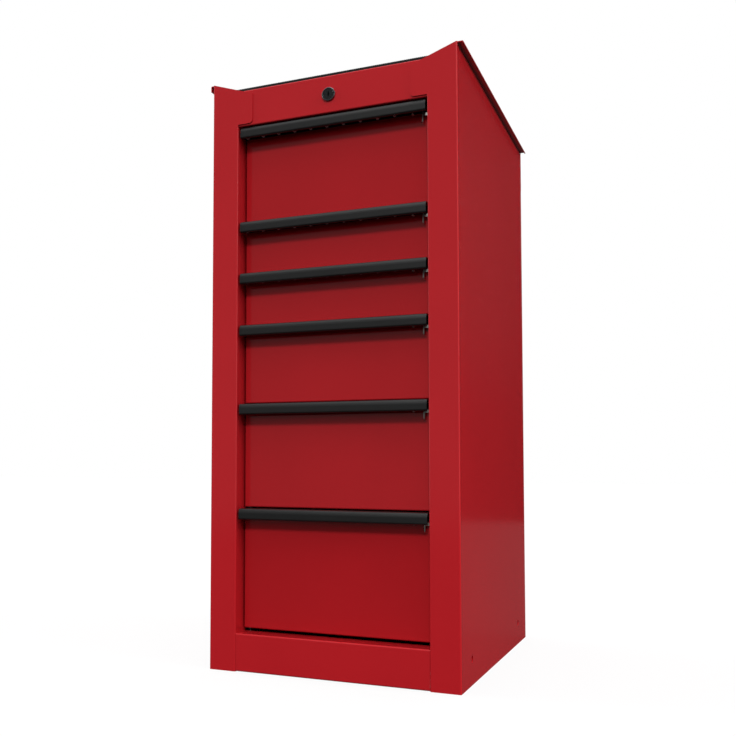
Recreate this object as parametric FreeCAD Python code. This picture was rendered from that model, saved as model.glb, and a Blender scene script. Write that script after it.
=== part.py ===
import FreeCAD, Part
import math
import os

os.makedirs("parts", exist_ok=True)

V = FreeCAD.Vector

# Six-drawer side cabinet in folded sheet steel, modelled as separate pieces.
# X runs to the right seen from the front, Y to the back and Z up, in millimetres.
# The origin is on the floor, under the middle of the whole cabinet.

# ---- case ----
case_width = 395.0
case_depth = 560.0
case_height = 940.0
sheet = 1.2                 # case sheet thickness
bend = 0.9                  # inner radius of a fold
post_width = 44.5           # front face of each side panel
reveal_depth = 40.0         # return of the post beside the drawers
return_width = 15.0         # second return, behind the reveal
rear_flange = 16.0
bottom_flange = 20.0
lip_out = 8.9               # flange out along the top of the right side panel
lip_drop = 3.4              # its turned-down outer edge
hanger_out = 5.8            # hook along the top of the left side panel
hanger_drop = 9.5
lip_setback = 3.0
lip_root = 10.0             # height of wall that is made with the lip or hook
tab_reach = 69.5            # post tab over the top rail, from the outer side
tab_foot = 867.8
tab_corner = 6.0
ear_fall = 24.3             # drop of the sloped top edge over the tab's reach

# ---- rails, top, base and back ----
rail_top = 923.0
rail_foot = 864.7
rail_half = 193.5
rail_gap = 0.8              # between the back of the post tabs and the rail
rail_return = 22.0
rail_hem = 9.0
bottom_rail_top = 59.0
bottom_rail_hem = 14.0
bottom_rail_foot = 0.6
rail_clearance = 0.1        # between the bottom rail and each reveal
bottom_rail_setback = 1.0
top_flange = 20.0
mat_thickness = 4.8
mat_setback = 5.0
base_level = 20.0
base_flange = 36.0
back_sheet = 1.0
back_inset = 3.0            # back panel inside the outline of the case
bead_centres = [-90.0, 0.0, 90.0]
bead_depth = 2.5
bead_width = 26.0
bead_slope = 4.0
side_hole_radius = 5.5
side_hole_level = 38.0
side_hole_front = 73.4
side_hole_spacing = 400.0

# ---- drawers, from the top one down ----
handle_tops = [862.9, 709.9, 626.9, 543.6, 418.4, 253.2]
drawer_gap = 2.0            # under a drawer front, above the handle below it
lowest_edge = 64.5
front_setback = 28.0        # face of the drawer fronts behind the case front
front_gap = 2.2             # beside each drawer front
front_flange = 14.0
box_sheet = 1.0
box_length = 480.0
box_lift = 6.0              # box floor above the lower edge of its front
box_drop = 20.0             # box rim below the top of its handle
rim_width = 6.0
liner_thickness = 2.0
liner_gap = 2.0
tab_depth_below_rim = 10.0  # lock tab below the rim of the box

# ---- slides ----
slide_thickness = 12.7
slide_length = 470.0
mid_length = 450.0
slide_height = 35.0
slide_start = 2.0           # slides behind the front of the box
mid_start = 12.0
slide_lift = 24.0           # slide axis above the box floor
upright_sheet = 1.5
upright_width = 30.0
front_upright = 60.0        # behind the case front
rear_upright = 110.0        # ahead of the case back

# ---- handle and its catch ----
handle_setback = 2.0
handle_height = 17.3
handle_wall = 2.0
handle_curl = 4.0
handle_brow = 5.0           # the nose leans back from here up to the top
handle_lean = 2.3
handle_folds = [0.8, 8.0, 1.0]  # inner radii of the nose: foot, brow, top
handle_flange = 13.0
handle_length = 299.4
handle_cover = 12.0         # handle top over the drawer front
nose_ledge = 7.0            # depths of the ledges in the grip that carry the catch
rear_ledge = 3.0
ledge_drop = 5.8
ledge_clearance = 0.6       # rear ledge beside the thumb tab
ledge_height = 1.2
catch_left = 126.4
catch_right = 142.1
catch_drop = 28.8           # lower end of the thumb tab below the handle's top
catch_plate = 1.6
catch_front = 4.8           # plate behind the outside of the nose
catch_clearance = 0.6
tab_front = 20.0            # thumb tab behind the case front
tab_back = 25.2
tab_round = 2.0
tongue_reach = 7.4
tongue_top = 14.6           # tongue below the handle's top
tongue_foot = 18.8
tongue_margin = 1.0         # tongue inside the outline of the tab
slot_clearance = 1.5        # slot in the reveal round the tongue
hook_front = 11.0           # sprung hook behind the case front
hook_back = 19.0
hook_drop = 20.8            # foot of the hook below the handle's top
hook_stock = 1.2
hook_foot = 4.4

# ---- lock ----
lock_level = 893.0
bezel_radius = 10.6
bezel_proud = 1.4
bezel_recess = 0.9          # face inside the rim of the bezel
bezel_round = 1.0
bezel_notch = 2.8           # index notch in the rim, on the right
barrel_radius = 9.0
plug_radius = 7.2
plug_face = 8.6             # radius of the black face in the recess
plug_proud = 0.9
barrel_length = 25.0
plug_length = 30.0
nut_across = 24.0
nut_height = 4.0
lock_clearance = 0.3
spindle_radius = 4.0
crank_throw = 10.0
crank_pin = 2.0
crank_rise = crank_throw * math.sin(math.radians(45))
pin_clearance = 0.55
bar_foot = 70.0
bar_half = 10.0
bar_thickness = 3.0
tab_drop = 13.0             # downturn of the lock tab behind each drawer
tab_depth = 12.0
tab_sheet = 1.5
finger_gap = 3.0            # finger of the bar below the tab when unlocked
finger_length = 14.5
finger_sheet = 3.0
finger_half = 8.0
guide_levels = [130.0, 435.0, 740.0]

# ---- rivets ----
rivet_levels = [60.0, 250.0, 440.0, 630.0, 820.0]
rivet_head = 3.3
rivet_proud = 1.4
rivet_shank = 1.95

# ---- derived planes ----
front = -(bezel_proud + case_depth + rivet_proud) / 2 + bezel_proud
back = front + case_depth
side = case_width / 2
wall = side - sheet
opening = side - post_width
face = front + front_setback
box_front = face + front_flange
box_back = box_front + box_length
front_half = opening - front_gap
box_half = opening - slide_thickness
rail_face = front + sheet + rail_gap
bar_front = box_back + tab_depth + 4.0
bar_back = bar_front + bar_thickness
rivet_x = side - rear_flange / 2 - 1.0


def block(x0, x1, y0, y1, z0, z1):
    """Axis-aligned box between two corners."""
    return Part.makeBox(x1 - x0, y1 - y0, z1 - z0, V(x0, y0, z0))


def along_y(radius, x, z, y0, y1):
    return Part.makeCylinder(radius, y1 - y0, V(x, y0, z), V(0, 1, 0))


def along_x(radius, y, z, x0, x1):
    return Part.makeCylinder(radius, x1 - x0, V(x0, y, z), V(1, 0, 0))


def place(plane, u, v):
    """Point of a section plane; u and v run along its two named axes."""
    if plane == "xy":
        return V(u, v, 0)
    if plane == "xz":
        return V(u, 0, v)
    return V(0, u, v)


def extrude(wire, plane, start, end):
    axis = {"xy": V(0, 0, 1), "xz": V(0, 1, 0), "yz": V(1, 0, 0)}[plane]
    wire = wire.translated(axis * start)
    return Part.Face(wire).extrude(axis * (end - start))


def prism(points, plane, start, end):
    """Straight-sided outline extruded across its plane."""
    corners = [place(plane, u, v) for u, v in points]
    return extrude(Part.makePolygon(corners + corners[:1]), plane, start, end)


def fold(points, thickness, inner, plane, start, end):
    """Folded sheet: the line through points is one face of the sheet,
    the metal lies to the right of it, and each fold has the inner radius."""
    radii = inner if isinstance(inner, list) else [inner] * (len(points) - 2)
    near, far = [], []
    count = len(points)
    heading = []
    for a, b in zip(points, points[1:]):
        length = math.hypot(b[0] - a[0], b[1] - a[1])
        heading.append(((b[0] - a[0]) / length, (b[1] - a[1]) / length))

    def right(d):
        return (d[1], -d[0])

    first, last = right(heading[0]), right(heading[-1])
    near.append([points[0]])
    far.append([(points[0][0] + first[0] * thickness, points[0][1] + first[1] * thickness)])
    for i in range(1, count - 1):
        d0, d1 = heading[i - 1], heading[i]
        turn = math.atan2(d0[0] * d1[1] - d0[1] * d1[0], d0[0] * d1[0] + d0[1] * d1[1])
        radius = radii[i - 1] if turn > 0 else radii[i - 1] + thickness
        back_off = radius * math.tan(abs(turn) / 2)
        entry = (points[i][0] - d0[0] * back_off, points[i][1] - d0[1] * back_off)
        leave = (points[i][0] + d1[0] * back_off, points[i][1] + d1[1] * back_off)
        toward = -1 if turn > 0 else 1
        r0 = right(d0)
        centre = (entry[0] + r0[0] * toward * radius, entry[1] + r0[1] * toward * radius)
        half = turn / 2
        out = (-r0[0] * toward, -r0[1] * toward)
        mid = (out[0] * math.cos(half) - out[1] * math.sin(half),
               out[0] * math.sin(half) + out[1] * math.cos(half))
        near.append([entry, (centre[0] + mid[0] * radius, centre[1] + mid[1] * radius), leave])
        other = radius - thickness * toward
        scale = other / radius
        far.append([tuple(centre[k] + (p[k] - centre[k]) * scale for k in (0, 1))
                    for p in near[-1]])
    near.append([points[-1]])
    far.append([(points[-1][0] + last[0] * thickness, points[-1][1] + last[1] * thickness)])

    stations = near + [list(reversed(s)) for s in reversed(far)]
    edges = []
    for here, after in zip(stations, stations[1:] + stations[:1]):
        if len(here) == 3:
            edges.append(Part.Arc(*[place(plane, *p) for p in here]).toShape())
        edges.append(Part.makeLine(place(plane, *here[-1]), place(plane, *after[0])))
    return extrude(Part.Wire(edges), plane, start, end)


def union(shapes):
    joined = shapes[0].multiFuse(shapes[1:]) if len(shapes) > 1 else shapes[0]
    return joined.removeSplitter()


def tray(x0, x1, y0, y1, z0, z1, thickness, radius, open_side):
    """Pressed tray: a box with rounded closed edges and one open side."""
    outer = block(x0, x1, y0, y1, z0, z1)
    inner = block(x0 + thickness, x1 - thickness,
                  y0 + thickness, y1 if open_side == "back" else y1 - thickness,
                  z0 + thickness, z1 if open_side == "top" else z1 - thickness)
    outer = outer.makeFillet(radius, closed_edges(outer, open_side))
    inner = inner.makeFillet(radius - thickness, closed_edges(inner, open_side))
    return outer.cut(inner)


def closed_edges(solid, open_side):
    """Edges of a box that don't lie in its open side."""
    limit = solid.BoundBox.ZMax if open_side == "top" else solid.BoundBox.YMax
    kept = []
    for edge in solid.Edges:
        ends = [v.Z if open_side == "top" else v.Y for v in edge.Vertexes]
        if min(ends) < limit - 0.01 and (max(ends) < limit - 0.01 or open_side == "top"):
            kept.append(edge)
    return kept


def mirror_x(shape):
    return shape.mirror(V(0, 0, 0), V(1, 0, 0))


def save(name, shapes):
    """Writes one node; several shapes stay separate solids."""
    shape = shapes if isinstance(shapes, Part.Shape) else Part.makeCompound(shapes)
    shape.exportStep("parts/" + name + ".step")


# ---- case ----

def side_panel(reach, drop, catch_slots):
    """Right side panel, one folded sheet: rear flange, wall, post, reveal, return and top lip."""
    section = [(side - rear_flange, back), (side, back), (side, front), (opening, front),
               (opening, front + reveal_depth), (opening + return_width, front + reveal_depth)]
    lower = fold(section, sheet, bend, "xy", 0, rail_foot - 0.5)
    top_section = [(side, back), (side, front), (side - tab_reach, front)]
    upper = fold(top_section, sheet, bend, "xy", rail_foot - 0.5, case_height)
    flange_top = block(side - rear_flange, wall, back - sheet, back, rail_foot - 0.5, rail_top)

    tab_end = side - tab_reach
    foot_cut = block(tab_end - 1, opening, front - 1, front + 2, rail_foot - 1, tab_foot)
    slope = [(side, case_height), (tab_end - 1, case_height - ear_fall * (tab_reach + 1) / tab_reach),
             (tab_end - 1, case_height + 5), (side, case_height + 5)]
    ear_cut = prism(slope, "xz", front - 1, front + 1.5 * sheet)
    corner = block(tab_end - 1, tab_end + tab_corner, front - 1, front + 2,
                   tab_foot - 1, tab_foot + tab_corner)
    round_off = corner.cut(along_y(tab_corner, tab_end + tab_corner, tab_foot + tab_corner,
                                   front - 1, front + 2))
    wall_cut = block(wall - 1, side + 1, front + lip_setback, back + 1,
                     case_height - lip_root, case_height + 1)
    panel = union([lower, upper, flange_top])
    for tool in (foot_cut, ear_cut, round_off, wall_cut):
        panel = panel.cut(tool)

    lip_line = [(wall, case_height - lip_root), (wall, case_height),
                (side + reach, case_height), (side + reach, case_height - drop)]
    lip = fold(lip_line, sheet, bend, "xz", front + lip_setback, back)
    foot = block(side - bottom_flange, wall, front + 2 * sheet, back - 2 * sheet, 0, sheet)
    panel = union([panel, lip, foot])

    for y in side_holes():
        panel = panel.cut(along_x(side_hole_radius, y, side_hole_level, wall - 1, side + 1))
    for z in rivet_levels:
        panel = panel.cut(along_y(rivet_shank + 0.1, rivet_x, z, back - 3, back + 1))
    if catch_slots:
        for top in handle_tops:
            panel = panel.cut(block(opening - 1, opening + 2,
                                    front + tab_front - 0.5, front + tab_back + 0.5,
                                    top - tongue_foot - slot_clearance,
                                    top - tongue_top + slot_clearance))
    return panel


def side_holes():
    """Y of the bolt holes that join the cabinet to its neighbour."""
    return [front + side_hole_front, front + side_hole_front + side_hole_spacing]


def back_panel():
    """Rear sheet with three pressed beads, running from floor to top."""
    face_line = back - sheet
    half = side - back_inset
    line = [(-half, face_line)]
    for centre in bead_centres:
        line += [(centre - bead_width / 2, face_line),
                 (centre - bead_width / 2 + bead_slope, face_line - bead_depth),
                 (centre + bead_width / 2 - bead_slope, face_line - bead_depth),
                 (centre + bead_width / 2, face_line)]
    line.append((half, face_line))
    panel = fold(line, back_sheet, bend, "xy", back_inset, rail_top - back_inset)
    for z in rivet_levels:
        for x in (-rivet_x, rivet_x):
            panel = panel.cut(along_y(rivet_shank + 0.1, x, z, back - 6, back + 1))
    return panel


def top_rail():
    """Folded rail over the drawers, behind the post tabs, with the lock hole."""
    line = [(front + rail_return, rail_foot + rail_hem), (front + rail_return, rail_foot),
            (rail_face, rail_foot), (rail_face, rail_top), (front + rail_return - 2, rail_top)]
    rail = fold(line, sheet, bend, "yz", -rail_half, rail_half)
    return rail.cut(along_y(barrel_radius + 0.2, 0, lock_level, front - 1, front + 6))


def bottom_rail():
    """Folded rail under the lowest drawer, closed down to the reveal's depth."""
    y0 = front + bottom_rail_setback
    half = opening - rail_clearance
    line = [(front + 15, bottom_rail_foot), (y0, bottom_rail_foot), (y0, bottom_rail_top),
            (front + reveal_depth - 1, bottom_rail_top),
            (front + reveal_depth - 1, bottom_rail_top - bottom_rail_hem)]
    return fold(line, sheet, bend, "yz", -half, half)


def top_panel():
    """Top sheet with a flange down each side wall."""
    z = rail_top - sheet
    half = wall - 0.1
    line = [(-half, z - top_flange), (-half, z), (half, z), (half, z - top_flange)]
    return fold(line, sheet, bend, "xz", rail_face + sheet + 1, back - 2 * sheet - 1)


def top_mat():
    """Ribbed mat on the top; its front edge lies on the fold of the rail."""
    y0 = front + mat_setback
    y1 = back - 6.0
    step = front + rail_return
    top = rail_top + mat_thickness
    outline = [(y0, rail_top), (step, rail_top), (step, rail_top - sheet),
               (y1, rail_top - sheet), (y1, top), (y0, top)]
    return prism(outline, "yz", -(wall - 4), wall - 4)


def base_panel():
    """Floor pan; its side flanges carry the bolt holes through both sheets."""
    half = wall - 0.1
    line = [(half, base_level + base_flange), (half, base_level),
            (-half, base_level), (-half, base_level + base_flange)]
    pan = fold(line, sheet, bend, "xz", front + reveal_depth + 3, back - 7)
    for y in side_holes():
        pan = pan.cut(along_x(side_hole_radius, y, side_hole_level, -side, side))
    return pan


def case_rivets():
    """Blind rivets through the rear flanges and the back panel."""
    rivets = []
    for x in (-rivet_x, rivet_x):
        for z in rivet_levels:
            dome_radius = (rivet_head ** 2 + rivet_proud ** 2) / (2 * rivet_proud)
            dome = Part.makeSphere(dome_radius, V(x, back + rivet_proud - dome_radius, z))
            head = dome.common(block(x - 5, x + 5, back, back + 3, z - 5, z + 5))
            shank = along_y(rivet_shank, x, z, back - sheet - back_sheet - 0.5, back + 0.2)
            tail = along_y(2.8, x, z, back - sheet - back_sheet - 2.4, back - sheet - back_sheet)
            rivets.append(union([head, shank, tail]))
    return rivets


# ---- slides ----

def slide_axis(index):
    """Height of the slides of one drawer."""
    return drawer_foot(index) + box_lift + slide_lift


def drawer_foot(index):
    """Lower edge of a drawer front."""
    if index + 1 < len(handle_tops):
        return handle_tops[index + 1] + drawer_gap
    return lowest_edge


def upright_starts():
    return [front + front_upright, back - rear_upright]


def slide_uprights():
    """Four channels between base and top that carry the slides."""
    uprights = []
    for y in upright_starts():
        line = [(wall, y), (opening, y), (opening, y + upright_width), (wall, y + upright_width)]
        channel = fold(line, upright_sheet, bend, "xy", base_level + sheet, rail_top - 2 * sheet)
        for index in range(len(handle_tops)):
            z = slide_axis(index)
            middle = y + upright_width / 2
            channel = channel.cut(block(opening - 1, opening + 3, middle - 2, middle + 2,
                                        z - 6.3, z + 14))
        # both ends stand clear of the flanges of the floor pan and the top
        notch = wall - sheet - bend - 0.3
        for low, high in ((base_level, base_level + base_flange + 0.5),
                          (rail_top - sheet - top_flange - 0.5, rail_top)):
            channel = channel.cut(block(notch, wall + 1, y - 1, y + upright_width + 1, low, high))
        uprights += [channel, mirror_x(channel)]
    return uprights


def channel_member(inset, reach, half_height, thickness, y0, length, z):
    """Right-hand slide member whose web stands inset from the upright and
    whose flanges point at the drawer."""
    web = opening - inset
    line = [(opening - reach, z + half_height), (web, z + half_height),
            (web, z - half_height), (opening - reach, z - half_height)]
    return fold(line, thickness, 0.6, "xz", y0, y0 + length)


def outer_slides():
    """Fixed members, each hooked into two uprights."""
    members = []
    for index in range(len(handle_tops)):
        z = slide_axis(index)
        parts = [channel_member(0, 8.0, slide_height / 2, sheet, box_front + slide_start,
                                slide_length, z)]
        for y in upright_starts():
            middle = y + upright_width / 2
            parts.append(block(opening - 0.2, opening + upright_sheet + 0.4,
                               middle - 1.5, middle + 1.5, z - 6, z + 4))
            parts.append(block(opening + upright_sheet + 0.4, opening + upright_sheet + 2.4,
                               middle - 1.5, middle + 1.5, z - 12, z + 4))
        member = union(parts)
        members += [member, mirror_x(member)]
    return members


def mid_slides(index):
    """Middle members, with a bumper at each end."""
    z = slide_axis(index)
    y0 = box_front + mid_start
    member = channel_member(2.2, 10.7, slide_height / 2 - 2.5, 1.0, y0, mid_length, z)
    stop = block(opening - 6.5, opening - 3.1, y0 + mid_length - 3, y0 + mid_length, z - 8, z + 8)
    member = union([member, stop])
    return [member, mirror_x(member)]


def inner_slides(index):
    """Members on the sides of the drawer box."""
    z = slide_axis(index)
    line = [(opening - 4.2, z - 12), (box_half, z - 12), (box_half, z + 12), (opening - 4.2, z + 12)]
    start = box_front + slide_start
    member = fold(line, sheet, 0.6, "xz", start, start + slide_length)
    return [member, mirror_x(member)]


# ---- drawers ----

def drawer_front(index):
    """Pressed drawer front with flanges all round."""
    return tray(-front_half, front_half, face, box_front,
                drawer_foot(index), handle_tops[index] - handle_wall, sheet, 2.2, "back")


def drawer_box(index):
    """Open box with a turned-in rim and a lock tab on its back."""
    floor = drawer_foot(index) + box_lift
    rim = handle_tops[index] - box_drop
    box = tray(-box_half, box_half, box_front, box_back, floor, rim, box_sheet, 2.0, "top")
    ring = block(-box_half, box_half, box_front, box_back, rim - box_sheet, rim)
    hole = block(-box_half + rim_width, box_half - rim_width,
                 box_front + rim_width, box_back - rim_width, rim - 2, rim + 1)
    ring = ring.cut(hole).common(block(-box_half, box_half, box_front, box_back, 0, rim))
    ring = ring.makeFillet(2.0, [e for e in ring.Edges if upright_corner(e)])
    level = tab_level(index)
    tab_end = box_back + tab_depth
    plate = block(-bar_half, bar_half, box_back - 0.5, tab_end, level - tab_sheet, level)
    turn = block(-bar_half, bar_half, tab_end - tab_sheet, tab_end,
                 level - tab_sheet - tab_drop, level)
    return union([box, ring, plate, turn])


def upright_corner(edge):
    """Outer vertical edges of the rim ring."""
    box = edge.BoundBox
    return (box.XLength < 0.01 and box.YLength < 0.01 and abs(abs(box.XMin) - box_half) < 0.01
            and min(abs(box.YMin - box_front), abs(box.YMin - box_back)) < 0.01)


def tab_level(index):
    """Top of the lock tab behind a drawer."""
    return handle_tops[index] - box_drop - tab_depth_below_rim


def drawer_liner(index):
    """Loose sheet on the floor of the box."""
    floor = drawer_foot(index) + box_lift + box_sheet
    inset = box_sheet + liner_gap
    liner = block(-box_half + inset, box_half - inset, box_front + inset, box_back - inset,
                  floor, floor + liner_thickness)
    return liner.makeFillet(4.0, [e for e in liner.Edges if e.BoundBox.ZLength > 1])


def handle(index):
    """Full-width grip: nose, top, flange on the drawer front and a closed left end."""
    top = handle_tops[index]
    half = handle_length / 2
    y0 = front + handle_setback
    line = [(y0 + handle_curl, top - handle_height), (y0, top - handle_height),
            (y0, top - handle_brow), (y0 + handle_lean, top), (face + handle_cover, top)]
    grip = fold(line, handle_wall, handle_folds, "yz", -half, half)
    flange = block(-half, half, face - handle_wall, face, top - handle_flange, top - 1)
    end = [(y0 + 1, top - 5), (y0 + 2.6, top - 2.6), (y0 + 5, top - 1), (face - 1, top - 1),
           (face - 1, top - handle_flange), (y0 + 2.8, top - handle_height),
           (y0 + 1, top - handle_height + 2.5)]
    cap = prism(end, "yz", -half, -half + 1.6)
    shelf = top - ledge_drop
    start = catch_left - 0.8
    ledges = [block(start, half, y0 + 1.5, y0 + nose_ledge, shelf, shelf + ledge_height),
              block(start, catch_right - catch_plate - ledge_clearance,
                    face - handle_wall - rear_ledge, face - 1, shelf, shelf + ledge_height)]
    return union([grip, flange, cap] + ledges)


def catch(index):
    """Sliding catch at the right end of the grip, with a thumb tab and a tongue."""
    top = handle_tops[index]
    roof = top - handle_wall - catch_clearance
    foot = top - catch_drop
    plate = block(catch_left, catch_right, front + handle_setback + catch_front,
                  face - handle_wall - catch_clearance, roof - catch_plate, roof)
    tab = block(catch_right - catch_plate, catch_right, front + tab_front, front + tab_back,
                foot, roof - 0.5)
    tab = tab.makeFillet(tab_round, [e for e in tab.Edges if along_foot(e, foot)])
    tongue = block(catch_right - 1, catch_right + tongue_reach,
                   front + tab_front + tongue_margin, front + tab_back - tongue_margin,
                   top - tongue_foot, top - tongue_top)
    hook = block(catch_left, catch_left + hook_stock, front + hook_front, front + hook_back,
                 top - hook_drop, roof - 1)
    curl = block(catch_left, catch_left + hook_foot, front + hook_front, front + hook_back,
                 top - hook_drop, top - hook_drop + hook_stock)
    return union([plate, tab, tongue, hook, curl])


def along_foot(edge, level):
    """Edges of the thumb tab that run across its lower end."""
    box = edge.BoundBox
    return box.ZLength < 0.01 and abs(box.ZMin - level) < 0.01 and box.XLength > 1


# ---- lock ----

def lock_housing():
    """Fixed barrel with a bezel on the face of the rail."""
    seat = rail_face
    bezel = along_y(bezel_radius, 0, lock_level, front - bezel_proud, seat)
    rim = [e for e in bezel.Edges if e.BoundBox.YMax < front and e.BoundBox.XLength > 20]
    bezel = bezel.makeFillet(bezel_round, rim)
    floor = front - bezel_proud + bezel_recess
    recess = along_y(barrel_radius, 0, lock_level, front - 3, floor)
    notch = block(0, bezel_radius + 1, front - 3, floor + 0.5,
                  lock_level - bezel_notch / 2, lock_level + bezel_notch / 2)
    barrel = along_y(barrel_radius, 0, lock_level, seat - 0.5, front + barrel_length)
    bore = along_y(plug_radius + lock_clearance, 0, lock_level, front - 3, front + plug_length)
    return union([bezel, barrel]).cut(recess).cut(notch).cut(bore)


def lock_nut():
    """Hexagon nut that clamps the barrel to the rail from behind."""
    reach = nut_across / math.sqrt(3)
    corners = [(reach * math.cos(math.radians(60 * k)),
                lock_level + reach * math.sin(math.radians(60 * k))) for k in range(6)]
    seat = rail_face + sheet
    nut = prism(corners, "xz", seat, seat + nut_height)
    return nut.cut(along_y(barrel_radius + 0.1, 0, lock_level, front, front + 10))


def lock_plug():
    """Turning plug with a keyway; the keyway stands upright when unlocked."""
    floor = front - bezel_proud + bezel_recess
    plug = along_y(plug_radius, 0, lock_level, floor - 0.2, front + plug_length)
    disc = along_y(plug_face, 0, lock_level, front - plug_proud, floor - 0.1)
    disc = disc.makeFillet(0.2, [e for e in disc.Edges if e.BoundBox.YMax < front - plug_proud + 0.01])
    plug = union([plug, disc])
    keyway = block(-0.9, 0.9, front - 1, front + 6, lock_level - 4.5, lock_level + 4.0)
    ward = block(-0.9, 1.6, front - 1, front + 6, lock_level - 1.2, lock_level + 0.4)
    return plug.cut(keyway).cut(ward)


def lock_spindle():
    """Rod from the plug to the back of the case, with the crank and its pin."""
    y0, y1 = front + plug_length, bar_front - 5
    rod = along_y(spindle_radius, 0, lock_level, y0, y1)
    hub = along_y(8.0, 0, lock_level, y1, y1 + 3)
    boss = along_y(4.0, -crank_rise, lock_level - crank_rise, y1, y1 + 3)
    pin = along_y(crank_pin, -crank_rise, lock_level - crank_rise, y1, bar_back + 1)
    return union([rod, hub, boss, pin])


def lock_bar():
    """Vertical bar that rises to catch the tab of every drawer."""
    pin_level = lock_level - crank_rise
    strip = block(-bar_half, bar_half, bar_front, bar_back, bar_foot, pin_level + 8)
    head = block(-17, 0, bar_front, bar_back, pin_level - 9, pin_level + 8)
    parts = [strip, head]
    for index in range(len(handle_tops)):
        tip = tab_level(index) - tab_sheet - tab_drop - finger_gap
        foot = tip - finger_length
        start = box_back + 4
        parts.append(block(-finger_half, finger_half, start, bar_front + 0.5,
                           foot, foot + finger_sheet))
        parts.append(block(-finger_half, finger_half, start, start + finger_sheet, foot, tip))
    slot_half = crank_pin + pin_clearance
    slot = block(-crank_throw - slot_half, -crank_rise + slot_half, bar_front - 1, bar_back + 1,
                 pin_level - slot_half, pin_level + slot_half)
    return union(parts).cut(slot)


def lock_bar_guides():
    """Guides on the back panel for the bar, and the rear bearing of the spindle."""
    guides = []
    panel_face = back - sheet - back_sheet - bead_depth
    for z in guide_levels:
        body = block(-16, 16, bar_front - 3, panel_face, z - 8, z + 8)
        window = block(-bar_half - 0.6, bar_half + 0.6, bar_front - 0.5, bar_back + 0.5,
                       z - 9, z + 9)
        guides.append(body.cut(window))
    y = bar_front - 20
    ceiling = rail_top - 2 * sheet
    plate = block(-15, 15, y, y + tab_sheet, lock_level - 14, ceiling)
    foot = block(-15, 15, y, y + 14, ceiling - tab_sheet, ceiling)
    bearing = union([plate, foot]).cut(along_y(spindle_radius + 0.4, 0, lock_level, y - 1, y + 3))
    guides.append(bearing)
    return guides


save("right_side_panel", side_panel(lip_out, lip_drop, True))
save("left_side_panel", mirror_x(side_panel(hanger_out, hanger_drop, False)))
save("back_panel", back_panel())
save("top_panel", top_panel())
save("base_panel", base_panel())
save("top_rail", top_rail())
save("bottom_rail", bottom_rail())
save("top_mat", top_mat())
save("slide_uprights", slide_uprights())
save("outer_slides", outer_slides())
save("case_rivets", case_rivets())
save("lock_housing", lock_housing())
save("lock_nut", lock_nut())
save("lock_plug", lock_plug())
save("lock_spindle", lock_spindle())
save("lock_bar", lock_bar())
save("lock_bar_guides", lock_bar_guides())

for index in range(len(handle_tops)):
    number = str(index + 1)
    save("drawer_front_" + number, drawer_front(index))
    save("drawer_box_" + number, drawer_box(index))
    save("drawer_liner_" + number, drawer_liner(index))
    save("handle_" + number, handle(index))
    save("catch_" + number, catch(index))
    save("inner_slides_" + number, inner_slides(index))
    save("mid_slides_" + number, mid_slides(index))
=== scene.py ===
import bmesh
import bpy
from math import atan2, degrees, pi, radians
from mathutils import Matrix, Vector


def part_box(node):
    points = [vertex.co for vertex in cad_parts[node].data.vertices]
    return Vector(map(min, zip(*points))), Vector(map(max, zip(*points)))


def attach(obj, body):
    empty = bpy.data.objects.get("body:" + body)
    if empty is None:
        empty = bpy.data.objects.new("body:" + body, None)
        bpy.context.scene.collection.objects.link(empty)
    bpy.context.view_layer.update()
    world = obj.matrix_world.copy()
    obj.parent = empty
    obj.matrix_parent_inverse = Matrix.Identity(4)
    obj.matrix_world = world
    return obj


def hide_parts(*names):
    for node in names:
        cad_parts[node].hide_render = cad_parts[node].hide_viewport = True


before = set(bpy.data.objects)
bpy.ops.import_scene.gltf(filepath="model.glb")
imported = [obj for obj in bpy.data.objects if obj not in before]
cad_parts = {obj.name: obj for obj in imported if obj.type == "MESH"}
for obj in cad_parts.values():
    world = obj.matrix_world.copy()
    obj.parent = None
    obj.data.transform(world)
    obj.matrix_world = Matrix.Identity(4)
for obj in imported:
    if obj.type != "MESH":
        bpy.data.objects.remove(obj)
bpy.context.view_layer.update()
print("frame:", len(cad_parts), "nodes loaded")

mm = 0.001
drawers = range(1, 7)       # from the top one down


def nodeBox(node):
    # lowest and highest corner of a CAD node in mm
    low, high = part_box(node)
    return low / mm, high / mm


def clearSelection():
    if bpy.context.mode != "OBJECT":
        bpy.ops.object.mode_set(mode="OBJECT")
    bpy.ops.object.select_all(action="DESELECT")


def activate(piece):
    clearSelection()
    piece.select_set(True)
    bpy.context.view_layer.objects.active = piece


def placeInMesh(name):
    bpy.ops.object.transform_apply(location=True, rotation=True, scale=True)
    piece = bpy.context.object
    piece.name = piece.data.name = name
    return piece


def startBox(name, low, high):
    # block between two corners in mm, its place in its mesh
    clearSelection()
    low, high = Vector(low) * mm, Vector(high) * mm
    bpy.ops.mesh.primitive_cube_add(size=1, location=(low + high) / 2, scale=high - low)
    return placeInMesh(name)


def pick(kind, test):
    # in edit mode, selects the corners, edges or faces whose middle in mm passes the test
    if bpy.context.mode != "EDIT_MESH":
        bpy.ops.object.mode_set(mode="EDIT")
    bpy.ops.mesh.select_mode(type=kind)
    bpy.ops.mesh.select_all(action="DESELECT")
    mesh = bmesh.from_edit_mesh(bpy.context.object.data)
    for part in {"VERT": mesh.verts, "EDGE": mesh.edges, "FACE": mesh.faces}[kind]:
        corners = [part.co] if kind == "VERT" else [corner.co for corner in part.verts]
        middle = sum(corners, Vector()) / len(corners) / mm
        if test(middle, part):
            part.select_set(True)
    mesh.select_flush_mode()
    bmesh.update_edit_mesh(bpy.context.object.data)


def roundEdges(test, radius, segments):
    pick("EDGE", test)
    bpy.ops.mesh.bevel(offset=radius * mm, segments=segments, affect="EDGES")


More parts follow.
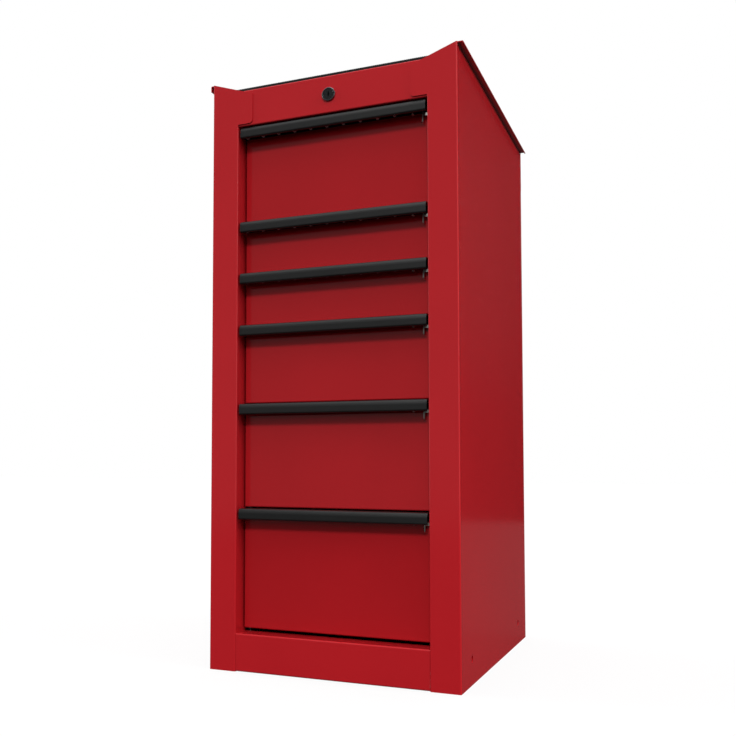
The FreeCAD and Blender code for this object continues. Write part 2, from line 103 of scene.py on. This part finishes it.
def closeShell():
    # merges the doubles that a spin leaves and turns all faces outwards
    bpy.ops.mesh.select_all(action="SELECT")
    bpy.ops.mesh.remove_doubles(threshold=0.001 * mm)
    bpy.ops.mesh.normals_make_consistent(inside=False)


def along(edge, axis):
    # edge runs along one axis: 0, 1 or 2
    run = edge.verts[1].co - edge.verts[0].co
    return abs(run[axis]) > 0.99 * run.length


def applyModifier(piece, kind, **settings):
    activate(piece)
    modifier = piece.modifiers.new(kind.lower(), kind)
    for name, value in settings.items():
        setattr(modifier, name, value)
    bpy.ops.object.modifier_apply(modifier=modifier.name)


def breakEdges(piece, width):
    # takes the sharpness off the edges of pressed sheet, width in mm
    applyModifier(piece, "BEVEL", width=width * mm, segments=2, limit_method="ANGLE",
                  angle_limit=radians(50))


def repeat(piece, count, step):
    # row of copies in one mesh, step in mm
    applyModifier(piece, "ARRAY", count=count, use_relative_offset=False, use_constant_offset=True,
                  constant_offset_displace=Vector(step) * mm)


def copyPiece(piece, name, shift):
    # copy with its own mesh, moved in the mesh by mm
    twin = piece.copy()
    twin.data = piece.data.copy()
    twin.name = twin.data.name = name
    twin.data.transform(Matrix.Translation(Vector(shift) * mm))
    bpy.context.collection.objects.link(twin)
    return twin


def joinPieces(name, parts):
    activate(parts[0])
    for part in parts:
        part.select_set(True)
    bpy.ops.object.join()
    parts[0].name = parts[0].data.name = name
    return parts[0]


def smooth(piece, angle=35):
    activate(piece)
    bpy.ops.object.shade_smooth_by_angle(angle=radians(angle))


def hexToLinear(hexColour):
    channels = [int(hexColour[i:i + 2], 16) / 255 for i in (1, 3, 5)]
    return [c / 12.92 if c <= 0.04045 else ((c + 0.055) / 1.055) ** 2.4 for c in channels] + [1]


def addNode(tree, kind, settings=None, links=None):
    # settings are node properties or socket values, links name the input that each output feeds
    node = tree.nodes.new(kind)
    for name, value in (settings or {}).items():
        if isinstance(name, str) and hasattr(node, name):
            setattr(node, name, value)
        else:
            node.inputs[name].default_value = value
    for name, output in (links or {}).items():
        tree.links.new(output, node.inputs[name])
    return node


def newTree(name):
    material = bpy.data.materials.new(name)
    material.use_nodes = True
    material.node_tree.nodes.clear()
    return material, material.node_tree


# place in metres, turns in degrees
cameraView = {"place": (0.50696, -1.69383, 0.31110), "yaw": 26.2002, "pitch": 3.2161, "roll": 0.3845,
              "lens": 48.3351, "shift": (0.20615, 0.06521)}


def makeCamera(view):
    data = bpy.data.cameras.new("camera")
    data.lens = view["lens"]
    data.shift_x, data.shift_y = view["shift"]
    camera = bpy.data.objects.new("camera", data)
    bpy.context.collection.objects.link(camera)
    camera.matrix_world = (Matrix.Translation(view["place"])
                           @ Matrix.Rotation(radians(view["yaw"]), 4, "Z")
                           @ Matrix.Rotation(radians(90 + view["pitch"]), 4, "X")
                           @ Matrix.Rotation(radians(view["roll"]), 4, "Z"))
    bpy.context.scene.camera = camera


# soft lamps from far away, a white world and a white floor that keeps the shadow
studio = {
    "lamps": {
        "keyLamp": {"towards": (0.2, -0.8, 0.545), "strength": 0.52 * pi, "angle": 9},
        "topLamp": {"towards": (0.1, -0.3, 0.95), "strength": 0.14 * pi, "angle": 30},
        "rightLamp": {"towards": (0.9, 0, 0.4), "strength": 0.67 * pi, "angle": 35},
        "leftLamp": {"towards": (-0.9, 0, 0.4), "strength": 0.67 * pi, "angle": 35},
        "backLamp": {"towards": (0, 0.95, 0.3), "strength": 0.45 * pi, "angle": 25},
    },
    "worldLevel": 0.8,          # light from the world on dull surfaces
    "floorSize": 60,            # metres
    "floorColour": "#2F2F2F",   # what the object gets back from the floor
    "floorSheen": 0.01,         # share of the white floor in reflections
    "whiteLevel": 0.86,         # even white of the floor to the camera
    "whiteColour": "#555555",   # the part of that white that takes shadows
}

# ring of grey cards seen only in reflections, in metres; each level of light starts at a
# bearing in degrees from the front, rising to the right
cards = {"radius": 5.0, "height": 5.4, "sectors": 36,
         "levels": [(-180, 0.12), (-122, 1.0), (-65, 0.18), (15, 0.2), (55, 1.0), (80, 0.15),
                    (130, 0.01)]}


def makeLamp(name, lamp):
    data = bpy.data.lights.new(name, "SUN")
    data.energy = lamp["strength"]
    data.angle = radians(lamp["angle"])
    sun = bpy.data.objects.new(name, data)
    bpy.context.collection.objects.link(sun)
    sun.matrix_world = Vector(lamp["towards"]).to_track_quat("Z", "Y").to_matrix().to_4x4()
    sun.visible_camera = False


def addSeenShare(tree, cameraShare, glossyShare):
    # one share for camera rays, another for glossy and transmission rays, none for the rest
    path = addNode(tree, "ShaderNodeLightPath")
    mirrored = addNode(tree, "ShaderNodeMath", {"operation": "MAXIMUM"},
                       {0: path.outputs["Is Glossy Ray"], 1: path.outputs["Is Transmission Ray"]})
    mirroredShare = addNode(tree, "ShaderNodeMath", {"operation": "MULTIPLY", 1: glossyShare},
                            {0: mirrored.outputs[0]})
    share = addNode(tree, "ShaderNodeMath", {"operation": "MULTIPLY_ADD", 1: cameraShare},
                    {0: path.outputs["Is Camera Ray"], 2: mirroredShare.outputs[0]})
    return share.outputs[0]


def makeWorld(level):
    # white to the camera and in reflections, softer on dull surfaces
    world = bpy.data.worlds.new("studioWorld")
    bpy.context.scene.world = world
    world.use_nodes = True
    tree = world.node_tree
    tree.nodes.clear()
    seen = addSeenShare(tree, 1.0, 1.0)
    strength = addNode(tree, "ShaderNodeMapRange", {"To Min": level, "To Max": 1.0},
                       {"Value": seen})
    glow = addNode(tree, "ShaderNodeBackground", {"Color": (1, 1, 1, 1)},
                   {"Strength": strength.outputs[0]})
    addNode(tree, "ShaderNodeOutputWorld", links={"Surface": glow.outputs[0]})


def makeFloor(look):
    clearSelection()
    bpy.ops.mesh.primitive_plane_add(size=look["floorSize"])
    floor = placeInMesh("studioFloor")
    material, tree = newTree("paleFloor")
    dull = addNode(tree, "ShaderNodeBsdfDiffuse", {"Color": hexToLinear(look["floorColour"])})
    glow = addNode(tree, "ShaderNodeEmission", {"Strength": look["whiteLevel"]})
    shaded = addNode(tree, "ShaderNodeBsdfDiffuse", {"Color": hexToLinear(look["whiteColour"])})
    white = addNode(tree, "ShaderNodeAddShader", links={0: glow.outputs[0], 1: shaded.outputs[0]})
    mix = addNode(tree, "ShaderNodeMixShader",
                  links={"Fac": addSeenShare(tree, 1.0, look["floorSheen"]),
                         1: dull.outputs[0], 2: white.outputs[0]})
    addNode(tree, "ShaderNodeOutputMaterial", links={"Surface": mix.outputs[0]})
    floor.data.materials.append(material)


def makeCards(look):
    clearSelection()
    bpy.ops.mesh.primitive_cylinder_add(vertices=look["sectors"], radius=look["radius"],
                                        depth=look["height"], end_fill_type="NOTHING",
                                        location=(0, 0, look["height"] / 2))
    ring = placeInMesh("studioCards")
    for number, (_, level) in enumerate(look["levels"]):
        material, tree = newTree("greyCard_" + str(number))
        glow = addNode(tree, "ShaderNodeEmission", {"Strength": level})
        addNode(tree, "ShaderNodeOutputMaterial", links={"Surface": glow.outputs[0]})
        ring.data.materials.append(material)
    for face in ring.data.polygons:
        bearing = degrees(atan2(face.center.x, -face.center.y))
        face.material_index = sum(bearing > start for start, _ in look["levels"]) - 1
    ring.visible_camera = ring.visible_diffuse = ring.visible_shadow = False
    ring.visible_transmission = ring.visible_volume_scatter = False


makeCamera(cameraView)
for lampName, lamp in studio["lamps"].items():
    makeLamp(lampName, lamp)
makeWorld(studio["worldLevel"])
makeFloor(studio)
makeCards(cards)
bpy.context.scene.view_settings.view_transform = "Standard"
print("studio: camera,", len(studio["lamps"]), "lamps, world, floor and cards")


noiseMiddle = {"From Min": 0.3, "From Max": 0.7}    # where most of a noise lies


def perMetre(size):
    # scale of a noise whose patches are this many mm across
    return 1000 / size


def addShades(tree, place, look, detail):
    # two shades that drift into each other in patches
    patches = addNode(tree, "ShaderNodeTexNoise",
                      {"Scale": perMetre(look["patch"]), "Detail": detail}, {"Vector": place})
    first, second = (hexToLinear(shade) for shade in look["shades"])
    mix = addNode(tree, "ShaderNodeMix", {"data_type": "RGBA", 6: first, 7: second},
                  {0: patches.outputs["Fac"]})
    return mix.outputs[2]


def addSurface(tree, look, shades, gloss, relief):
    # shader whose roughness follows one noise and whose bump follows another
    least, most = look["roughness"]
    roughness = addNode(tree, "ShaderNodeMapRange", {**noiseMiddle, "To Min": least, "To Max": most},
                        {"Value": gloss.outputs["Fac"]})
    bump = addNode(tree, "ShaderNodeBump", {"Strength": 1.0, "Distance": look["depth"] * mm},
                   {"Height": relief.outputs["Fac"]})
    shader = addNode(tree, "ShaderNodeBsdfPrincipled", look["shader"],
                     {"Base Color": shades, "Roughness": roughness.outputs[0],
                      "Normal": bump.outputs[0]})
    addNode(tree, "ShaderNodeOutputMaterial", links={"Surface": shader.outputs[0]})


# in all finishes the sizes of patches, grains and depths are in mm

# gloss polyester powder coat, sprayed and baked on steel: deep even red, clear shine with a
# faint orange peel that breaks up reflections; its specks are drawn coarser than the powder
powderCoat = {"shades": ("#A7181F", "#AF1A21"), "patch": 140, "peel": 2.4, "depth": 0.005,
              "specks": 0.9, "roughness": (0.1, 0.15), "shader": {"IOR": 1.5}}

# the same powder on the drawers, drawn a little deeper as painted shade for the dimmer light on
# the recessed drawer fronts, and glossier from its smooth flat fronts
shadedDrawerCoat = {"shades": ("#9D151B", "#A5161D"), "patch": 110, "peel": 2.4, "depth": 0.004,
              "specks": 0.9, "roughness": (0.05, 0.08), "shader": {"IOR": 1.5}}


def makePowderCoat(name, look):
    material, tree = newTree(name)
    place = addNode(tree, "ShaderNodeTexCoord").outputs["Object"]
    specks = addNode(tree, "ShaderNodeTexNoise", {"Scale": perMetre(look["specks"]), "Detail": 1},
                     {"Vector": place})
    peel = addNode(tree, "ShaderNodeTexNoise", {"Scale": perMetre(look["peel"]), "Detail": 1},
                   {"Vector": place})
    addSurface(tree, look, addShades(tree, place, look, 2), specks, peel)
    return material


# black ABS, injection moulded in a spark-eroded tool: satin with an even grain, drawn
# coarser than the tool's so that it shows
gripAbs = {"shades": ("#0F1010", "#141515"), "patch": 30, "grain": 0.9, "depth": 0.03,
           "roughness": (0.3, 0.38), "shader": {"IOR": 1.53}}

# nitrile rubber sheet: dull near-black, finely pitted
matRubber = {"shades": ("#0C0C0D", "#111111"), "patch": 45, "grain": 0.7, "depth": 0.04,
             "roughness": (0.68, 0.82), "shader": {"IOR": 1.3}}

# closed-cell EVA foam: dull dark grey with a pebbled skin
linerFoam = {"shades": ("#1C1D1E", "#232425"), "patch": 20, "grain": 1.2, "depth": 0.08,
             "roughness": (0.76, 0.9), "shader": {"IOR": 1.48}}

# baked black enamel on the zinc die-cast plug: shiny, softly uneven
plugEnamel = {"shades": ("#101112", "#161718"), "patch": 4, "grain": 1.1, "depth": 0.01,
              "roughness": (0.2, 0.3), "shader": {"IOR": 1.5}}


def makePolymer(name, look):
    material, tree = newTree(name)
    place = addNode(tree, "ShaderNodeTexCoord").outputs["Object"]
    grain = addNode(tree, "ShaderNodeTexNoise", {"Scale": perMetre(look["grain"]), "Detail": 2},
                    {"Vector": place})
    addSurface(tree, look, addShades(tree, place, look, 3), grain, grain)
    return material


# bright zinc plate on cold-rolled steel: silvery, clouded blue and straw by the passivation
zincPlate = {"shades": ("#C4C8CC", "#CFC9B8"), "patch": 18, "grain": (0.4, 6.0), "depth": 0.004,
             "roughness": (0.26, 0.4), "shader": {"Metallic": 1.0}}

# dull zinc flake on the spring clips: pale grey, shines by scatter more than by mirror; drawn
# paler than plain zinc as a painted glint, so their edges show as bright marks in the shade under
# the grips
zincFlakeAndGlint = {"shades": ("#DFE0E1", "#D2D4D6"), "patch": 3, "grain": (0.4, 0.4), "depth": 0.01,
             "roughness": (0.45, 0.6), "shader": {"Metallic": 0.2}}

# nickel and chrome on the die-cast bezel: a near mirror with faint polishing marks, drawn darker
# than bright chrome as painted shade for the dark surroundings it mirrors
shadedLockChrome = {"shades": ("#85888B", "#797C80"), "patch": 5, "grain": (0.3, 0.3), "depth": 0.001,
              "roughness": (0.08, 0.15), "shader": {"Metallic": 1.0}}

# tumbled aluminium rivets: pale and satin
rivetAluminium = {"shades": ("#C2C4C6", "#B4B6B9"), "patch": 2.5, "grain": (0.5, 0.5),
                  "depth": 0.01, "roughness": (0.34, 0.46), "shader": {"Metallic": 1.0}}


def makeMetal(name, look):
    # grain is given across and from front to back, the way the sheet was rolled
    material, tree = newTree(name)
    place = addNode(tree, "ShaderNodeTexCoord").outputs["Object"]
    across, lengthwise = (perMetre(size) for size in look["grain"])
    stretched = addNode(tree, "ShaderNodeMapping", {"Scale": (across, lengthwise, across)},
                        {"Vector": place})
    grain = addNode(tree, "ShaderNodeTexNoise", {"Scale": 1.0, "Detail": 2},
                    {"Vector": stretched.outputs[0]})
    addSurface(tree, look, addShades(tree, place, look, 3), grain, grain)
    return material


finishes = {"red_paint": makePowderCoat("powderCoatedSteel", powderCoat),
            "drawer_paint": makePowderCoat("powderCoatedDrawersShaded", shadedDrawerCoat),
            "grip_plastic": makePolymer("mouldedAbs", gripAbs),
            "mat_rubber": makePolymer("nitrileRubber", matRubber),
            "liner_foam": makePolymer("evaFoam", linerFoam),
            "plug_black": makePolymer("bakedEnamel", plugEnamel),
            "zinc_steel": makeMetal("brightZincPlate", zincPlate),
            "lock_chrome": makeMetal("chromePlateShaded", shadedLockChrome),
            "rivet_aluminium": makeMetal("tumbledAluminium", rivetAluminium)}
# clip finish with its painted glint
clipGlintFinish = makeMetal("zincFlakeSpringSteelAndGlint", zincFlakeAndGlint)

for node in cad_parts.values():
    for materialSlot in node.material_slots:
        materialSlot.material = finishes[materialSlot.material.name]
print("materials:", len(finishes), "finishes on the CAD nodes, one for the clips")


def settle(piece, body, slot, finish=None):
    # finish and body of a piece that is done; the slot names its finish
    piece.data.materials.clear()
    piece.data.materials.append(finish or finishes[slot])
    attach(piece, body)


def spreadOverDrawers(piece, name, node, slot, body="drawer", replaced=False, finish=None):
    # copies of the first drawer's piece, as far below it as their CAD nodes are
    roof = nodeBox(node + "_1")[1].z
    pieces = [piece] + [copyPiece(piece, name + "_" + str(drawer),
                                  (0, 0, nodeBox(node + "_" + str(drawer))[1].z - roof))
                        for drawer in drawers[1:]]
    for drawer, twin in zip(drawers, pieces):
        settle(twin, body + "_" + str(drawer), slot, finish)
        if replaced:
            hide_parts(node + "_" + str(drawer))


# moulded webs that stiffen each grip, from its nose to its flange: front, back and roof are
# where they end inside the walls of the grip, and the drops are below its top
webs = {"count": 10, "first": -143.4, "spacing": 27.0, "thickness": 1.6, "front": 1.5, "back": 24.4,
        "roof": 1.5, "noseDrop": 16.0, "flangeDrop": 13.0, "noseRound": 2.6, "edge": 0.45}

# spring steel clip pushed up over the lower edge of each web
clips = {"front": 8.0, "back": 18.0, "stock": 0.6, "height": 3.4, "foot": 16.4}


def makeWebs(look):
    low, high = nodeBox("handle_1")
    half = look["thickness"] / 2
    web = startBox("gripWebs_1",
                   (look["first"] - half, low.y + look["front"], high.z - look["noseDrop"]),
                   (look["first"] + half, low.y + look["back"], high.z - look["roof"]))
    # upper edge in the nose
    roundEdges(lambda place, edge: along(edge, 0) and place.y < low.y + 2 and place.z > high.z - 2,
               look["noseRound"], 3)
    # lower corners at the flange, lifted so that the lower edge slopes up to it
    pick("VERT", lambda place, corner: place.y > low.y + 10 and place.z < high.z - 5)
    bpy.ops.transform.translate(value=(0, 0, (look["noseDrop"] - look["flangeDrop"]) * mm))
    # both sides of that lower edge
    roundEdges(lambda place, edge: place.z < high.z - 8
               and abs(edge.verts[0].co.y - edge.verts[1].co.y) > 5 * mm, look["edge"], 2)
    repeat(web, look["count"], (look["spacing"], 0, 0))
    smooth(web)
    spreadOverDrawers(web, "gripWebs", "handle", "grip_plastic")


def makeClips(look, row):
    # one leg of the clip, spun round the edge of the web and drawn up again
    low, high = nodeBox("handle_1")
    inner = row["thickness"] / 2
    outer = inner + look["stock"]
    turn = Vector((row["first"], low.y, high.z - look["foot"] + outer))
    clip = startBox("gripClips_1", (turn.x - outer, low.y + look["front"], turn.z),
                    (turn.x - inner, low.y + look["back"], turn.z + look["height"]))
    pick("FACE", lambda place, face: face.normal.z < -0.9)
    bpy.ops.mesh.spin(steps=8, angle=radians(-180), center=turn * mm, axis=(0, 1, 0))
    bpy.ops.mesh.extrude_region_move(TRANSFORM_OT_translate={"value": (0, 0, look["height"] * mm)})
    closeShell()
    repeat(clip, row["count"], (row["spacing"], 0, 0))
    smooth(clip)
    spreadOverDrawers(clip, "gripClips", "handle", "zinc_steel", finish=clipGlintFinish)


makeWebs(webs)
makeClips(clips, webs)
print("grips: webs and clips on", len(drawers), "drawers")


# sliding catch at the right end of each grip, pressed from sheet: plate, thumb tab, tongue and
# hook; fronts and backs are behind the plate's front edge, tops and feet below its face
catches = {"stock": 1.6, "edge": 0.25, "lap": 0.5, "reach": 7.4,
           "tabFront": 13.2, "tabBack": 18.4, "tabRound": 2.0,
           "tongueTop": 12.0, "tongueFoot": 16.2, "tongueMargin": 1.0, "tongueRound": 0.9,
           "hookFront": 4.2, "hookBack": 12.2, "hookFoot": 18.2, "hookStock": 1.2,
           "hookBend": 1.0, "hookTurn": 125}


def makeHook(look, corner, back, top):
    # strip that hangs from the plate and curls to the right at its foot
    stock, bend = look["hookStock"], look["hookBend"]
    turn = Vector(corner) + Vector((stock + bend, 0, stock + bend))
    hook = startBox("hook", (corner[0], corner[1], turn.z), (corner[0] + stock, back, top))
    pick("FACE", lambda place, face: place.z < turn.z + 0.01)
    bpy.ops.mesh.spin(steps=6, angle=radians(-look["hookTurn"]), center=turn * mm, axis=(0, 1, 0))
    closeShell()
    breakEdges(hook, look["edge"])
    return hook


def makeCatch(look):
    low, high = nodeBox("catch_1")
    tip = high.x - look["reach"]                    # outer face of the thumb tab
    tabFront, tabBack = low.y + look["tabFront"], low.y + look["tabBack"]
    plate = startBox("catchLever_1", (low.x, low.y, high.z - look["stock"]), (tip, high.y, high.z))
    tab = startBox("tab", (tip - look["stock"], tabFront, low.z),
                   (tip, tabBack, high.z - look["lap"]))
    roundEdges(lambda place, edge: along(edge, 0) and place.z < low.z + 1, look["tabRound"], 8)
    margin = look["tongueMargin"]                   # sunk in the tab and narrower than it
    tongue = startBox("tongue", (tip - margin, tabFront + margin, high.z - look["tongueFoot"]),
                      (high.x, tabBack - margin, high.z - look["tongueTop"]))
    roundEdges(lambda place, edge: place.x > high.x - 0.1, look["tongueRound"], 3)
    hook = makeHook(look, (low.x, low.y + look["hookFront"], high.z - look["hookFoot"]),
                    low.y + look["hookBack"], high.z - look["stock"] + look["lap"])
    for part in (plate, tab):
        breakEdges(part, look["edge"])
    lever = joinPieces("catchLever_1", [plate, tab, tongue, hook])
    smooth(lever)
    spreadOverDrawers(lever, "catchLever", "catch", "zinc_steel", "catch", True)


makeCatch(catches)
print("catches: levers on", len(drawers), "drawers")


# fluted rubber mat: its ribs run from front to back and stop short of the edges
topMat = {"thickness": 4.8, "base": 4.2, "edge": 0.5, "pitch": 3.0, "rib": 2.2, "round": 0.25,
          "lap": 0.3, "ribEnd": 0.3, "ribSide": 2.0}

# foam sheet with low ribs, loose on the floor of each drawer
liners = {"base": 1.2, "corner": 4.0, "pitch": 4.0, "rib": 2.0, "round": 0.4,
          "lap": 0.3, "ribEnd": 1.5, "ribSide": 4.0}


def makeRibs(look, low, high, face):
    # row of ribs from the face of a sheet up to the top of its box
    count = int((high.x - low.x - 2 * look["ribSide"]) // look["pitch"])
    start = -(count - 1) * look["pitch"] / 2
    rib = startBox("rib", (start - look["rib"] / 2, low.y + look["ribEnd"], face - look["lap"]),
                   (start + look["rib"] / 2, high.y - look["ribEnd"], high.z))
    roundEdges(lambda place, edge: place.z > high.z - 0.1, look["round"], 2)
    repeat(rib, count, (look["pitch"], 0, 0))
    return rib


def makeTopMat(look):
    low, high = nodeBox("top_mat")
    foot = high.z - look["thickness"]                # underside over the fold of the rail
    face = foot + look["base"]
    base = startBox("flutedMat", (low.x, low.y, foot), (high.x, high.y, face))
    applyModifier(base, "BEVEL", width=look["edge"] * mm, segments=2)
    mat = joinPieces("flutedMat", [base, makeRibs(look, low, high, face)])
    smooth(mat)
    settle(mat, "case", "mat_rubber")
    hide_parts("top_mat")


def makeLiner(look):
    low, high = nodeBox("drawer_liner_1")
    face = low.z + look["base"]
    base = startBox("ribbedLiner_1", low, (high.x, high.y, face))
    roundEdges(lambda place, edge: along(edge, 2), look["corner"], 6)
    liner = joinPieces("ribbedLiner_1", [base, makeRibs(look, low, high, face)])
    smooth(liner)
    spreadOverDrawers(liner, "ribbedLiner", "drawer_liner", "liner_foam", replaced=True)


makeTopMat(topMat)
print("top: fluted mat")
makeLiner(liners)
print("drawers: ribbed liners in", len(drawers))


# blind rivets of the back panel: low dome with the broken mandrel in its recess, and a bulb on
# the blind side; each ring is a step inwards and a step out of the last face
rivets = {"levels": (60, 250, 440, 630, 820), "head": 3.3, "rim": 0.35, "proud": 1.4, "shank": 1.96,
          "headRings": ((0.5, 0.5), (0.7, 0.35), (0.7, 0.2), (0.25, -0.6), (0.2, 0.35)),
          "tailRings": ((0.25, -1.6), (-0.9, 0.3), (0.5, 0.9), (0.7, 0.3))}


def addRings(test, rings):
    pick("FACE", test)
    for width, height in rings:
        bpy.ops.mesh.inset(thickness=width * mm, depth=height * mm)


def makeRivets(look):
    low, high = nodeBox("case_rivets")
    column = high.x - look["head"]
    skin = high.y - look["proud"]                    # outer face of the back panel
    length = skin - low.y
    level = look["levels"][0]
    clearSelection()
    bpy.ops.mesh.primitive_cylinder_add(
        vertices=20, radius=look["head"] * mm, depth=look["rim"] * mm, rotation=(radians(-90), 0, 0),
        location=Vector((column, skin + look["rim"] / 2, level)) * mm)
    head = placeInMesh("blindRivets")
    addRings(lambda place, face: face.normal.y > 0.9, look["headRings"])
    clearSelection()
    bpy.ops.mesh.primitive_cylinder_add(
        vertices=16, radius=look["shank"] * mm, depth=length * mm, rotation=(radians(90), 0, 0),
        location=Vector((column, skin - length / 2, level)) * mm)
    tail = placeInMesh("tail")
    addRings(lambda place, face: face.normal.y < -0.9, look["tailRings"])
    rivet = joinPieces("blindRivets", [head, tail])
    smooth(rivet, 50)
    row = [rivet] + [copyPiece(rivet, "rivet", (0, 0, other - level))
                     for other in look["levels"][1:]]
    row += [copyPiece(piece, "rivet", (-2 * column, 0, 0)) for piece in row]
    rivet = joinPieces("blindRivets", row)
    settle(rivet, "case", "rivet_aluminium")
    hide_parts("case_rivets")


makeRivets(rivets)
print("back: blind rivets")
